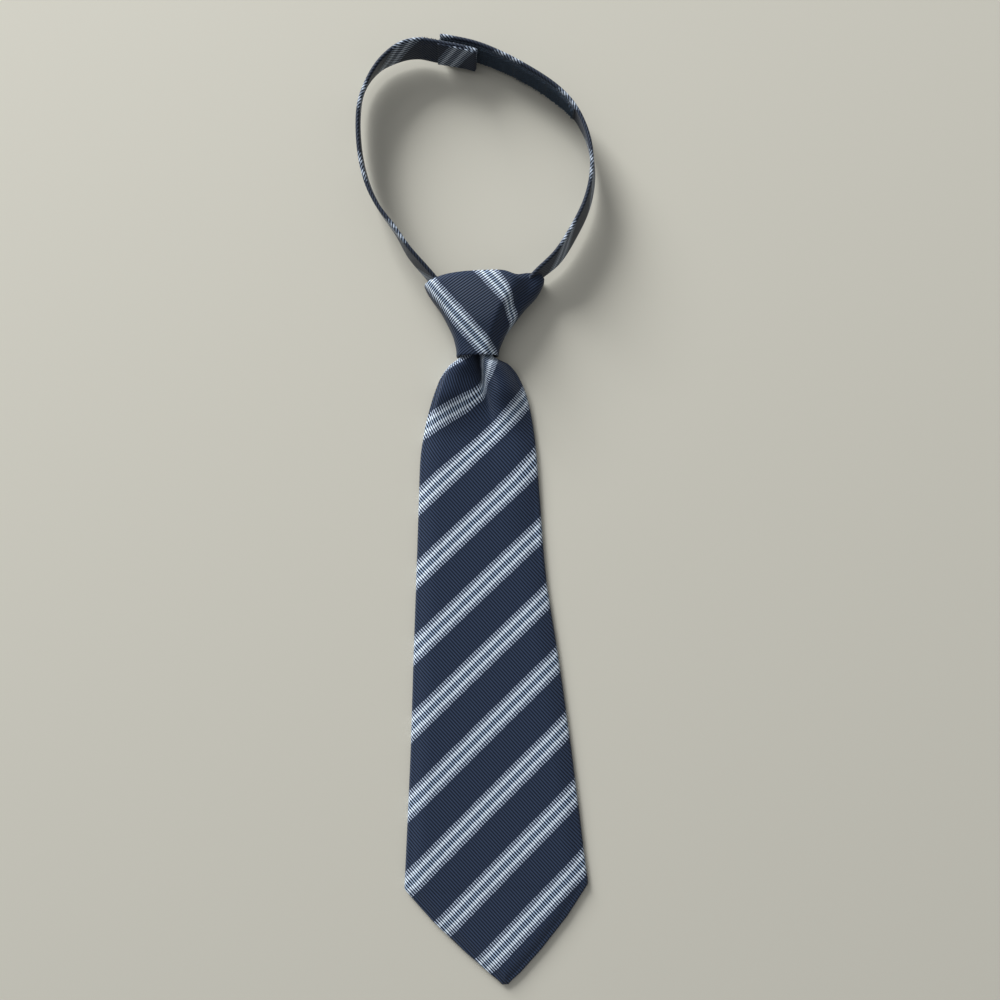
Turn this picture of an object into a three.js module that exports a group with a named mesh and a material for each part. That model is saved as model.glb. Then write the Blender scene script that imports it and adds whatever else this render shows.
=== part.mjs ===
import * as THREE from 'three';

// Child's pre-tied neck tie with a hook-and-loop neck strap, in millimetres.
// It lies on its back on a flat surface, which is z = 0. +Y runs from the knot to the neck loop,
// the blade runs along -Y, and the origin is on the flat back of the knot.

// Driving dimensions
const bladeWall = 1.5; // front cloth with its interlining
const flapWall = 1.0; // the two back flaps, one folded layer of cloth each
const edgeRadius = 1.4; // roll of the blade's pressed side edges
const tipThick = 3.2; // pressed tip, front to back
const seamGap = 0.6; // slit between the back flaps
const knotWall = 1.3; // cloth wrapped round the knot
const strapWidth = 12;
const strapThick = 1.5; // folded and stitched cloth
const tapeWidth = 10; // hook tape and loop tape
const tapeThick = 0.8;
const tapeGap = 0.3; // clearance on each side of a tape
const overlap = 15.5; // length of strap end that laps behind the other end
const hookTapeLength = 22;
const loopTapeLength = 60;

// The lapped ends lie parallel: strap, loop tape, hook tape, strap
const closureStep = strapThick + 2 * tapeThick + 3 * tapeGap; // centre to centre of the two straps
const closureRise = 1.2; // the inner end sits this much higher on the outer one

// Blade outline and relief, from the bunched neck inside the knot down to the pointed tip.
// left and right are half widths, height is the cloth's height at the middle of the front,
// lobe is the swell on each side of the dimple, dimple is how deep the fold between them runs,
// shift moves the dimple sideways, vee is the half width of the opening between the back flaps,
// lift is how far the neck's back is held up by the cloth of the knot.
const bladeRows = [
  { y: 9, left: 8.5, right: 11.5, height: 10.5, lobe: 0, dimple: 0, shift: 0, vee: 0, lift: 1.7 },
  { y: 2, left: 8.0, right: 10.5, height: 10.8, lobe: 0, dimple: 0, shift: 0, vee: 0, lift: 1.7 },
  { y: -6, left: 6.6, right: 8.4, height: 9.4, lobe: 0, dimple: 0.6, shift: 0, vee: 0, lift: 1.7 },
  { y: -13, left: 6.0, right: 6.0, height: 6.8, lobe: 1.2, dimple: 2.2, shift: 0, vee: 0, lift: 1.7 },
  { y: -17.3, left: 6.3, right: 5.9, height: 5.4, lobe: 2.4, dimple: 2.2, shift: 0, vee: 0, lift: 1.7 },
  { y: -20, left: 12.2, right: 11.2, height: 4.5, lobe: 4.4, dimple: 1.6, shift: 0, vee: 0, lift: 1.2 },
  { y: -24.5, left: 16.6, right: 14.9, height: 4.0, lobe: 5.0, dimple: 1.2, shift: 0.2, vee: 0, lift: 0.3 },
  { y: -31, left: 19.4, right: 17.6, height: 3.8, lobe: 4.4, dimple: 0.8, shift: 0.2, vee: 0, lift: 0 },
  { y: -38, left: 21.4, right: 19.2, height: 3.7, lobe: 3.2, dimple: 0.6, shift: -0.8, vee: 0, lift: 0 },
  { y: -46, left: 23.0, right: 20.3, height: 3.7, lobe: 1.8, dimple: 0.3, shift: -2.5, vee: 0, lift: 0 },
  { y: -56, left: 24.3, right: 21.0, height: 3.8, lobe: 0.7, dimple: 0, shift: -5, vee: 0, lift: 0 },
  { y: -73, left: 25.6, right: 21.6, height: 3.8, lobe: 0, dimple: 0, shift: -6, vee: 0, lift: 0 },
  { y: -103, left: 27.8, right: 22.8, height: 3.7, lobe: 0, dimple: 0, shift: 0, vee: 0, lift: 0 },
  { y: -135, left: 30.8, right: 26.8, height: 3.6, lobe: 0, dimple: 0, shift: 0, vee: 0, lift: 0 },
  { y: -166, left: 33.1, right: 30.1, height: 3.6, lobe: 0, dimple: 0, shift: 0, vee: 0, lift: 0 },
  { y: -190, left: 35.1, right: 32.2, height: 3.5, lobe: 0, dimple: 0, shift: 0, vee: 0, lift: 0 },
  { y: -212, left: 37.2, right: 33.8, height: 3.4, lobe: 0, dimple: 0, shift: 0, vee: 14, lift: 0 },
  { y: -220.5, left: 38.0, right: 34.4, height: 3.3, lobe: 0, dimple: 0, shift: 0, vee: 20, lift: 0 },
];

// The tip is a right-angled point under the side corners, given by its half widths alone
const tipRows = [
  { y: -223, left: 37.0, right: 34.0, vee: 21.5 },
  { y: -235, left: 26.6, right: 25.8, vee: 13 },
  { y: -247, left: 14.9, right: 15.6, vee: 3 },
  { y: -256, left: 5.4, right: 6.9, vee: 0 },
  { y: -259, left: 2.1, right: 3.3, vee: 0 },
  { y: -260.4, left: 0.7, right: 1.9, vee: 0 },
];

// Knot outline, top to bottom: half widths and the height of the rounded front.
// arch drops the side corners below the middle of the top edge, and crease is the depth of the
// fold that runs down from the notch in that edge, at the share foldAt of the half width.
const knotRows = [
  { y: 14.6, left: 19.6, right: 26.4, height: 15.2, arch: 3.6, crease: 1.5, foldAt: 0.55 },
  { y: 12.0, left: 19.0, right: 26.2, height: 16.0, arch: 3.4, crease: 1.3, foldAt: 0.55 },
  { y: 7.0, left: 16.8, right: 24.2, height: 16.2, arch: 2.0, crease: 0.8, foldAt: 0.52 },
  { y: 1.5, left: 13.9, right: 19.4, height: 15.8, arch: 0.8, crease: 0.5, foldAt: 0.48 },
  { y: -4.0, left: 11.5, right: 14.9, height: 15.0, arch: 0.2, crease: 0.3, foldAt: 0.42 },
  { y: -9.0, left: 9.5, right: 10.9, height: 13.6, arch: 0, crease: 0.3, foldAt: 0.36 },
  { y: -14.0, left: 8.5, right: 8.4, height: 12.2, arch: 0, crease: 0.5, foldAt: 0.3 },
  { y: -17.0, left: 8.5, right: 7.8, height: 11.6, arch: 0, crease: 0.7, foldAt: 0.25 },
];

// Strap centre lines. foot is the height of the lower edge's lowest point, lean tips the upper
// edge outwards in degrees, width narrows where the end is gathered into the knot.
const rightStrapRows = [
  { x: 16.0, y: 5.0, foot: 2.2, lean: -14, width: 8.8 },
  { x: 20.0, y: 9.4, foot: 2.2, lean: -14, width: 8.8 },
  { x: 24.1, y: 13.3, foot: 2.3, lean: -14, width: 9.4 },
  { x: 31.8, y: 19.5, foot: 2.5, lean: -13, width: 12 },
  { x: 38.2, y: 28.6, foot: 2.8, lean: -12, width: 12 },
  { x: 43.4, y: 38.4, foot: 2.8, lean: -11, width: 12 },
  { x: 46.1, y: 48.4, foot: 2.5, lean: -9, width: 12 },
  { x: 46.3, y: 58.0, foot: 2.2, lean: -7, width: 12 },
  { x: 44.4, y: 67.0, foot: 1.6, lean: -5, width: 12 },
  { x: 40.2, y: 75.6, foot: 1.0, lean: -1, width: 12 },
  { x: 33.7, y: 82.5, foot: 0.5, lean: 5, width: 12 },
  { x: 25.4, y: 88.8, foot: 0.2, lean: 6, width: 12 },
  { x: 14.2, y: 95.4, foot: 0, lean: 8, width: 12 },
  { x: 3.0, y: 100.1, foot: 0, lean: 12, width: 12 },
  { x: -9.9, y: 103.0, foot: 0, lean: 15, width: 12 },
];
const leftStrapRows = [
  { x: -10.6, y: 5.0, foot: 2.3, lean: -12, width: 9.0 },
  { x: -14.3, y: 10.6, foot: 2.3, lean: -12, width: 9.0 },
  { x: -19.2, y: 16.6, foot: 2.4, lean: -10, width: 10.4 },
  { x: -24.7, y: 23.4, foot: 2.6, lean: -6, width: 12 },
  { x: -29.6, y: 31.8, foot: 3.0, lean: 0, width: 12 },
  { x: -35.8, y: 41.2, foot: 3.2, lean: 3, width: 12 },
  { x: -39.9, y: 51.2, foot: 3.2, lean: 1, width: 12 },
  { x: -42.0, y: 63.6, foot: 3.2, lean: -3, width: 12 },
  { x: -41.8, y: 77.2, foot: 3.0, lean: -7, width: 12 },
  { x: -39.0, y: 87.2, foot: 2.8, lean: -14, width: 12 },
  { x: -33.4, y: 94.8, foot: 2.6, lean: -8, width: 12 },
  { x: -25.6, y: 99.6, foot: 2.4, lean: 6, width: 12 },
  { x: -18.4, y: 101.0, foot: 2.2, lean: 12, width: 12 },
];

// Colours, as the cloth and tapes show them
const navyCloth = new THREE.MeshStandardMaterial({ color: '#262c3c', roughness: 0.62, metalness: 0 });
const tapeCloth = new THREE.MeshStandardMaterial({ color: '#20262f', roughness: 0.95, metalness: 0 });

// Smooth interpolation of one named column, by row number
function smoothValue(rows, column, place) {
  const low = Math.min(Math.floor(place), rows.length - 2);
  const part = place - low;
  const at = (i) => rows[THREE.MathUtils.clamp(i, 0, rows.length - 1)][column];
  const [before, start, end, after] = [at(low - 1), at(low), at(low + 1), at(low + 2)];
  const slopeIn = (end - before) / 2;
  const slopeOut = (after - start) / 2;
  const t2 = part * part;
  const t3 = t2 * part;
  return start * (2 * t3 - 3 * t2 + 1) + slopeIn * (t3 - 2 * t2 + part)
    + end * (3 * t2 - 2 * t3) + slopeOut * (t3 - t2);
}

// Every column of a table at a row number between 0 and the last row
function smoothRow(rows, place) {
  const columns = Object.keys(rows[0]);
  return Object.fromEntries(columns.map((column) => [column, smoothValue(rows, column, place)]));
}

// A table sampled a few times between each two rows
function finerRows(rows, stepsEach) {
  const count = (rows.length - 1) * stepsEach;
  return Array.from({ length: count + 1 }, (_, i) => smoothRow(rows, i / stepsEach));
}

// Triangles between matching closed loops of points, in the order of the loops
function sideTriangles(loopCount, loopSize, firstPoint = 0) {
  const triangles = [];
  for (let i = 0; i < loopCount - 1; i += 1) {
    for (let j = 0; j < loopSize; j += 1) {
      const next = (j + 1) % loopSize;
      const [a, b] = [firstPoint + i * loopSize + j, firstPoint + i * loopSize + next];
      triangles.push([a, b, b + loopSize], [a, b + loopSize, a + loopSize]);
    }
  }
  return triangles;
}

// A mesh from points and triangles, turned inside out if its volume comes out negative
function closedMesh(name, points, triangles, material) {
  const volume = triangles.reduce((sum, [a, b, c]) => {
    const cross = new THREE.Vector3().crossVectors(points[b], points[c]);
    return sum + points[a].dot(cross);
  }, 0);
  const facing = volume > 0 ? triangles : triangles.map(([a, b, c]) => [a, c, b]);
  const geometry = new THREE.BufferGeometry().setFromPoints(points);
  geometry.setIndex(facing.flat());
  geometry.computeVertexNormals();
  const mesh = new THREE.Mesh(geometry, material);
  mesh.name = name;
  return mesh;
}

// A solid through closed loops, with each end closed by the flat shape of its own loop
function loftedMesh(name, loops, flatten, material) {
  const size = loops[0].length;
  const triangles = sideTriangles(loops.length, size);
  for (const [row, ahead] of [[0, -1], [loops.length - 1, 1]]) {
    const outline = loops[row].map(flatten);
    const direction = Math.sign(THREE.ShapeUtils.area(outline)) * ahead;
    for (const corners of THREE.ShapeUtils.triangulateShape(outline, [])) {
      const turn = Math.sign(THREE.ShapeUtils.area(corners.map((i) => outline[i])));
      const [a, b, c] = corners.map((i) => i + row * size);
      triangles.push(turn === direction ? [a, b, c] : [a, c, b]);
    }
  }
  return closedMesh(name, loops.flat(), triangles, material);
}

// Height of the blade's front at a sideways place, before its edges roll down
const lobePower = 0.8; // under 1, the lobes are fullest near the dimple
const dimpleReach = 0.2; // half width of the dimple, as a share of the blade's
function frontHeight(row, x) {
  const width = x < row.shift ? row.left + row.shift : row.right - row.shift;
  const across = (x - row.shift) / width;
  const swell = row.lobe * Math.sin(Math.PI * Math.min(1, Math.abs(across)) ** lobePower);
  const fold = row.dimple * Math.exp(-((across / dimpleReach) ** 2));
  const floor = flapWall + bladeWall + tapeGap;
  return Math.max(floor, row.height + swell - fold);
}

// One section of the blade: a flattened tube of cloth, slit along the middle of its back.
// The outer skin runs from the slit round the left edge, the front and the right edge back to
// the slit, and the inner skin runs back the other way.
const frontSteps = 18;
const edgeSteps = 4;
const rollShare = 0.3; // of the width, the most that the two edges' roll takes near the point
const leastInnerRadius = 0.05;
function bladeLoop(row) {
  const middle = (row.right - row.left) / 2;
  const slit = Math.max(seamGap / 2, row.vee);
  const roll = Math.min(edgeRadius, (row.right + row.left) * rollShare);
  const [start, end] = [roll - row.left, row.right - roll];
  // A side edge from its foot to its top, inset by the cloth's thickness on the inside
  const edge = (side, inset) => {
    const centre = side < 0 ? start : end;
    const top = frontHeight(row, centre) - inset;
    const low = inset > 0 ? flapWall : 0;
    const radius = Math.max(leastInnerRadius, roll - inset);
    return Array.from({ length: edgeSteps + 1 }, (_, i) => {
      const angle = -Math.PI / 2 + (Math.PI * i) / edgeSteps;
      const z = (top + low) / 2 + ((top - low) / 2) * Math.sin(angle);
      return new THREE.Vector2(centre + side * radius * Math.cos(angle), z);
    });
  };
  const front = (inset) => Array.from({ length: frontSteps - 1 }, (_, i) => {
    const x = start + ((end - start) * (i + 1)) / frontSteps;
    return new THREE.Vector2(x, frontHeight(row, x) - inset);
  });
  const flat = [
    new THREE.Vector2(middle - slit, 0), ...edge(-1, 0), ...front(0),
    ...edge(1, 0).reverse(), new THREE.Vector2(middle + slit, 0),
    new THREE.Vector2(middle + slit, flapWall), ...edge(1, bladeWall), ...front(bladeWall).reverse(),
    ...edge(-1, bladeWall).reverse(), new THREE.Vector2(middle - slit, flapWall),
  ];
  return flat.map((p) => new THREE.Vector3(p.x, row.y, Math.max(0, row.lift) + p.y));
}

function bladeMesh() {
  const tip = tipRows.map((row) => ({ ...row, height: tipThick, lobe: 0, dimple: 0, shift: 0, lift: 0 }));
  const rows = [...finerRows(bladeRows, 2), ...tip];
  return loftedMesh('blade', rows.map(bladeLoop), (p) => new THREE.Vector2(p.x, p.z), navyCloth);
}

// One loop of the knot's skin: a flat back and a full, rounded front with one fold in it
const knotSteps = 36;
const seatShare = 0.32; // height of the knot's widest line, as a share of its whole height
const sidePower = 0.55; // under 1, the sides stand fuller than an ellipse
const crownPower = 0.62; // the rounded front
const backPower = 0.3; // the back, rounded only at its sides
const backFullness = 1.05; // over 1, most of the back lies exactly flat
const foldReach = 0.16; // half width of the fold, as a share of the knot's
const notchShare = 0.6; // how far the fold also draws the top edge down
const cornerPower = 3; // how late towards the sides the top edge drops
function knotLoop(row, inset) {
  const middle = (row.right - row.left) / 2;
  const half = (row.right + row.left) / 2 - inset;
  const seat = row.height * seatShare;
  return Array.from({ length: knotSteps }, (_, i) => {
    const angle = (2 * Math.PI * i) / knotSteps;
    const front = Math.sin(angle) >= 0;
    const across = Math.sign(Math.cos(angle)) * Math.abs(Math.cos(angle)) ** sidePower;
    const rise = Math.abs(Math.sin(angle)) ** (front ? crownPower : backPower);
    const share = front ? rise : Math.min(1, backFullness * rise);
    const depth = row.crease * share * Math.exp(-(((across - row.foldAt) / foldReach) ** 2));
    const fold = front ? depth : 0;
    const z = seat + (front ? row.height - seat - inset : inset - seat) * share - fold;
    const drop = row.arch * Math.abs(across) ** cornerPower;
    const y = row.y - drop - fold * (row.y > 0 ? notchShare : 0);
    return new THREE.Vector3(middle + half * across, y, z);
  });
}

// The knot is a band of cloth wrapped round the blade's neck, open at its top and bottom
function knotMesh() {
  const rows = finerRows(knotRows, 1);
  const outer = rows.map((row) => knotLoop(row, 0));
  const inner = rows.map((row) => knotLoop(row, knotWall));
  const points = [...outer.flat(), ...inner.flat()];
  const firstInner = rows.length * knotSteps;
  const triangles = sideTriangles(rows.length, knotSteps);
  triangles.push(...sideTriangles(rows.length, knotSteps, firstInner).map(([a, b, c]) => [a, c, b]));
  for (const { row, flip } of [{ row: 0, flip: true }, { row: rows.length - 1, flip: false }]) {
    for (let j = 0; j < knotSteps; j += 1) {
      const next = (j + 1) % knotSteps;
      const [a, b] = [row * knotSteps + j, row * knotSteps + next];
      const [c, d] = [a + firstInner, b + firstInner];
      triangles.push(...(flip ? [[a, c, d], [a, d, b]] : [[a, d, c], [a, b, d]]));
    }
  }
  return closedMesh('knot', points, triangles, navyCloth);
}

// Stations along a strap: centre, the direction across its width and its outward face.
// turn is 1 for a strap that goes anticlockwise round the neck loop and -1 for the other.
function strapStations(rows, turn, stepsEach) {
  const fine = finerRows(rows, stepsEach);
  return fine.map((row, i) => {
    const before = fine[Math.max(i - 1, 0)];
    const after = fine[Math.min(i + 1, fine.length - 1)];
    const along = new THREE.Vector2(after.x - before.x, after.y - before.y).normalize();
    const lean = THREE.MathUtils.degToRad(row.lean);
    const outward = new THREE.Vector3(along.y * turn, -along.x * turn, 0);
    const up = outward.clone().multiplyScalar(Math.sin(lean)).setZ(Math.cos(lean));
    const face = outward.clone().multiplyScalar(Math.cos(lean)).setZ(-Math.sin(lean));
    const z = row.foot + (row.width / 2) * Math.cos(lean) + (strapThick / 2) * Math.abs(Math.sin(lean));
    return { centre: new THREE.Vector3(row.x, row.y, z), up, face, width: row.width, lean: row.lean };
  });
}

// The stretch of a strap between two distances from its free end, in even steps
function stretch(stations, from, to, steps) {
  const ends = [...stations].reverse();
  const distance = [0];
  for (let i = 1; i < ends.length; i += 1) {
    distance.push(distance[i - 1] + ends[i].centre.distanceTo(ends[i - 1].centre));
  }
  return Array.from({ length: steps + 1 }, (_, k) => {
    const target = from + ((to - from) * k) / steps;
    const i = Math.max(1, distance.findIndex((d) => d >= target));
    const part = (target - distance[i - 1]) / (distance[i] - distance[i - 1]);
    const mix = (key) => ends[i - 1][key].clone().lerp(ends[i][key], part);
    const [up, face] = [mix('up').normalize(), mix('face').normalize()];
    const lean = THREE.MathUtils.lerp(ends[i - 1].lean, ends[i].lean, part);
    return { centre: mix('centre'), up, face, width: ends[i].width, lean };
  });
}

// The same stations moved sideways along their faces and up along their width
function besides(stations, outwards, upwards, width) {
  return stations.map((station) => ({
    ...station,
    width,
    centre: station.centre.clone().addScaledVector(station.face, outwards).addScaledVector(station.up, upwards),
  }));
}

// A flat strip of cloth with softened edges through its stations
const edgeSoftening = 0.35; // bevel of the strip's corners, as a share of its thickness
function stripMesh(name, stations, thick, material) {
  const soften = thick * edgeSoftening;
  const loops = stations.map(({ centre, up, face, width }) => {
    const [w, t] = [width / 2, thick / 2];
    const section = [
      [w, t - soften], [w, soften - t], [w - soften, -t], [soften - w, -t],
      [-w, soften - t], [-w, t - soften], [soften - w, t], [w - soften, t],
    ];
    return section.map(([a, b]) => centre.clone().addScaledVector(up, a).addScaledVector(face, b));
  });
  const endFlatten = (loop) => {
    const across = loop[0].clone().sub(loop[5]).normalize();
    const through = loop[7].clone().sub(loop[2]).normalize();
    return (p) => new THREE.Vector2(p.dot(across), p.dot(through));
  };
  return loftedMesh(name, loops, endFlatten(loops[0]), material);
}

// The right strap carries the loop tape on its inner face; the left strap's end lies inside it
const lapStart = -1; // the lap is measured from a little beyond the right strap's end
const tapeMargin = 0.5; // from a strap's end to its tape's end
const rightStations = strapStations(rightStrapRows, 1, 3);
const lap = stretch(rightStations, lapStart, overlap, 4);
const lapInside = besides(lap, -closureStep, closureRise, strapWidth);
const lapRows = lapInside.map(({ centre, up, face, lean }) => {
  const foot = centre.z - (strapWidth / 2) * up.z - (strapThick / 2) * Math.abs(face.z);
  return { x: centre.x, y: centre.y, foot, lean, width: strapWidth };
});
const leftStations = strapStations([...leftStrapRows, ...lapRows], -1, 3);

const tapeOffset = (strapThick + tapeThick) / 2 + tapeGap;
const loopStations = besides(stretch(rightStations, tapeMargin, loopTapeLength, 24), -tapeOffset, 0, tapeWidth);
const hookStations = besides(stretch(leftStations, tapeMargin, hookTapeLength, 8), tapeOffset, 0, tapeWidth);

const tie = new THREE.Group();
tie.add(
  bladeMesh(),
  knotMesh(),
  stripMesh('strap_left', leftStations, strapThick, navyCloth),
  stripMesh('strap_right', rightStations, strapThick, navyCloth),
  stripMesh('hook_tape', hookStations, tapeThick, tapeCloth),
  stripMesh('loop_tape', loopStations, tapeThick, tapeCloth),
);

export default tie;
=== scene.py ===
import math
import random

import bmesh
import bpy
from mathutils import Matrix, Vector


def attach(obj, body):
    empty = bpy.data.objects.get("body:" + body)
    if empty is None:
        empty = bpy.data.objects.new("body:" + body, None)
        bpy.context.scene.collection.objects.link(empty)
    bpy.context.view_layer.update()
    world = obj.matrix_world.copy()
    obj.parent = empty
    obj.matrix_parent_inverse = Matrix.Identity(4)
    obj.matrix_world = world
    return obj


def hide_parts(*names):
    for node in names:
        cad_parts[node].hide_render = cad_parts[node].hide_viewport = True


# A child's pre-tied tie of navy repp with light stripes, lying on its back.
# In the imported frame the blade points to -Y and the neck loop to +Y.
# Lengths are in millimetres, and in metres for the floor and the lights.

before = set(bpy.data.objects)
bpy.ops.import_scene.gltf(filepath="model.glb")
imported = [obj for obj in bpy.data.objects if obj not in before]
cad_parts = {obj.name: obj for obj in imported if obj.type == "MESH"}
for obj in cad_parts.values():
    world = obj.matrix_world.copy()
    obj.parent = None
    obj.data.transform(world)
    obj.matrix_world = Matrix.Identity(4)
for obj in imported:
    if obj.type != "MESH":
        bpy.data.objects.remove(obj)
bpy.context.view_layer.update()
mm = 0.001


def say(words):
    print("tie:", words)


# Camera, floor and light

camera = {"x": 6.07, "y": -72.45, "height": 391.0, "turn": -2.3, "fieldOfView": 53.0, "nearest": 10.0}

cameraData = bpy.data.cameras.new("camera")
cameraData.angle = math.radians(camera["fieldOfView"])
cameraData.clip_start = camera["nearest"] * mm
cameraObject = bpy.data.objects.new("camera", cameraData)
cameraObject.location = Vector((camera["x"], camera["y"], camera["height"])) * mm
cameraObject.rotation_euler = (0, 0, math.radians(camera["turn"]))
bpy.context.collection.objects.link(cameraObject)
bpy.context.scene.camera = cameraObject
bpy.context.scene.view_settings.view_transform = "Standard"  # light cloth keeps its whites


def linear(hexColour):
    # sRGB written as hex, in the linear values that Blender takes
    def one(pair):
        c = int(pair, 16) / 255
        return c / 12.92 if c <= 0.04045 else ((c + 0.055) / 1.055) ** 2.4

    text = hexColour.lstrip("#")
    return tuple(one(text[i:i + 2]) for i in (0, 2, 4)) + (1.0,)


def addNode(tree, kind, settings=None, links=None):
    node = tree.nodes.new(kind)
    for name, value in (settings or {}).items():
        setattr(node, name, value)
    for socket, source in (links or {}).items():
        if isinstance(source, bpy.types.NodeSocket):
            tree.links.new(source, node.inputs[socket])
        else:
            node.inputs[socket].default_value = source
    return node


def newMaterial(name):
    material = bpy.data.materials.new(name)
    material.use_nodes = True
    tree = material.node_tree
    tree.nodes.clear()
    shader = addNode(tree, "ShaderNodeBsdfPrincipled")
    addNode(tree, "ShaderNodeOutputMaterial", links={"Surface": shader.outputs["BSDF"]})
    return material, tree, shader


floorLook = {"size": 2.0, "colour": "#bfb9a9", "roughness": 0.9}
lightLook = {
    "aim": Vector((0, -0.07, 0)),  # about the middle of the tie
    "windowFrom": Vector((-1.29, 2.22, 1.09)),  # low, past the neck loop and a little to the left
    "windowSize": 1.24,
    "windowPower": 139.0,
    "windowColour": "#f3f8ff",
    "wallFrom": Vector((-1.6, 2.0, 3.2)),  # the pale wall round the window fills the shadows
    "wallSize": 4.5,
    "wallPower": 46.0,
    "wallColour": "#f3f8ff",
    "skyColour": "#ecf2fb",
    "skyStrength": 0.34,
}


def makeFloor():
    bm = bmesh.new()
    bmesh.ops.create_grid(bm, x_segments=1, y_segments=1, size=floorLook["size"] / 2)
    mesh = bpy.data.meshes.new("floor")
    bm.to_mesh(mesh)
    bm.free()
    paper, _, shader = newMaterial("paleStudioPaper")  # matt, so that it only takes soft shadows
    shader.inputs["Base Color"].default_value = linear(floorLook["colour"])
    shader.inputs["Roughness"].default_value = floorLook["roughness"]
    mesh.materials.append(paper)
    floor = bpy.data.objects.new("floor", mesh)
    bpy.context.collection.objects.link(floor)


def makeLight():
    aim = lightLook["aim"]
    for name in ("window", "wall"):
        data = bpy.data.lights.new(name, "AREA")
        data.shape = "SQUARE"
        data.size = lightLook[name + "Size"]
        data.energy = lightLook[name + "Power"]
        data.color = linear(lightLook[name + "Colour"])[:3]
        panel = bpy.data.objects.new(name, data)
        panel.location = aim + lightLook[name + "From"]
        panel.rotation_euler = (aim - panel.location).to_track_quat("-Z", "Y").to_euler()
        panel.visible_camera = False  # low views along the table look towards the panels
        bpy.context.collection.objects.link(panel)
    world = bpy.data.worlds.new("studio")
    world.use_nodes = True
    sky = world.node_tree.nodes["Background"]
    sky.inputs["Color"].default_value = linear(lightLook["skyColour"])
    sky.inputs["Strength"].default_value = lightLook["skyStrength"]
    bpy.context.scene.world = world


makeFloor()
makeLight()
say("camera, floor and light")


# Cloth and tape finishes

# Every cloth piece has a UV map "cloth" in millimetres: U runs across the stripes and V along them, so
# that stripes and ribs follow the folds.
repp = {
    "stripeEvery": 20.4,
    "stripeHalf": 4.25,
    "ribEvery": 1.02,
    "ribDepth": 0.2,
    "pressedDepth": 0.1,
    "yarnEdge": 0.4,  # how soft a light yarn's edge is, as a share of the rib's height
    "drift": 0.5,  # slight drift of the yarn, so that no stripe border is ruler straight
    "driftScale": 0.35,
    "driftDetail": 2.0,
    "fleckScale": 1.7,  # uneven yarn: small lighter and darker flecks
    "fleckDetail": 3.0,
    "fleckFrom": 0.3,
    "fleckTo": 0.7,
    "fleckShade": 0.78,
    "roughness": 0.5,
    "shine": 0.12,
    "sheen": 0.06,  # short fibres that keep the cloth from going black in the shade
}
# grooveShade is painted shade: the navy darkened in the grooves between the ribs
freshYarn = {"ground": "#364258", "grooveShade": "#0b121c", "white": "#ebf6ff", "lightBlue": "#c8dcf1",
             "paleBlue": "#c8d4e4"}
# Painted shade: the strap's copy of the yarn colours, dimmer and greyer than the blade's
strapYarnPaintedShade = {"ground": "#363d4a", "grooveShade": "#151a22", "white": "#bcc5cf", "lightBlue": "#98a3b1",
               "paleBlue": "#98a3b0"}

# Lanes of a stripe from its middle outwards: the place as a share of the half stripe, the yarn there,
# and how well it covers the ground
stripeLanes = [
    (0.0, "lightBlue", 0.95),
    (0.19, "lightBlue", 0.95),
    (0.28, "white", 1.0),
    (0.55, "white", 1.0),
    (0.64, "paleBlue", 0.9),
    (0.96, "paleBlue", 0.9),
    (1.0, "grooveShade", 0.0),
    (1.08, "grooveShade", 0.0),
]

# How high on a rib the light yarn starts to show, which sets how broad each light thread looks
threadStarts = [(0.0, 0.59), (0.19, 0.59), (0.28, 0.18), (0.55, 0.18), (0.64, 0.5), (1.0, 0.5)]


def fillRamp(node, stops):
    # stops are a place from 0 to 1 and the colour there
    elements = node.color_ramp.elements
    while len(elements) < len(stops):
        elements.new(1.0)
    for element, (at, colour) in zip(elements, stops):
        element.position = at
        element.color = colour


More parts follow.
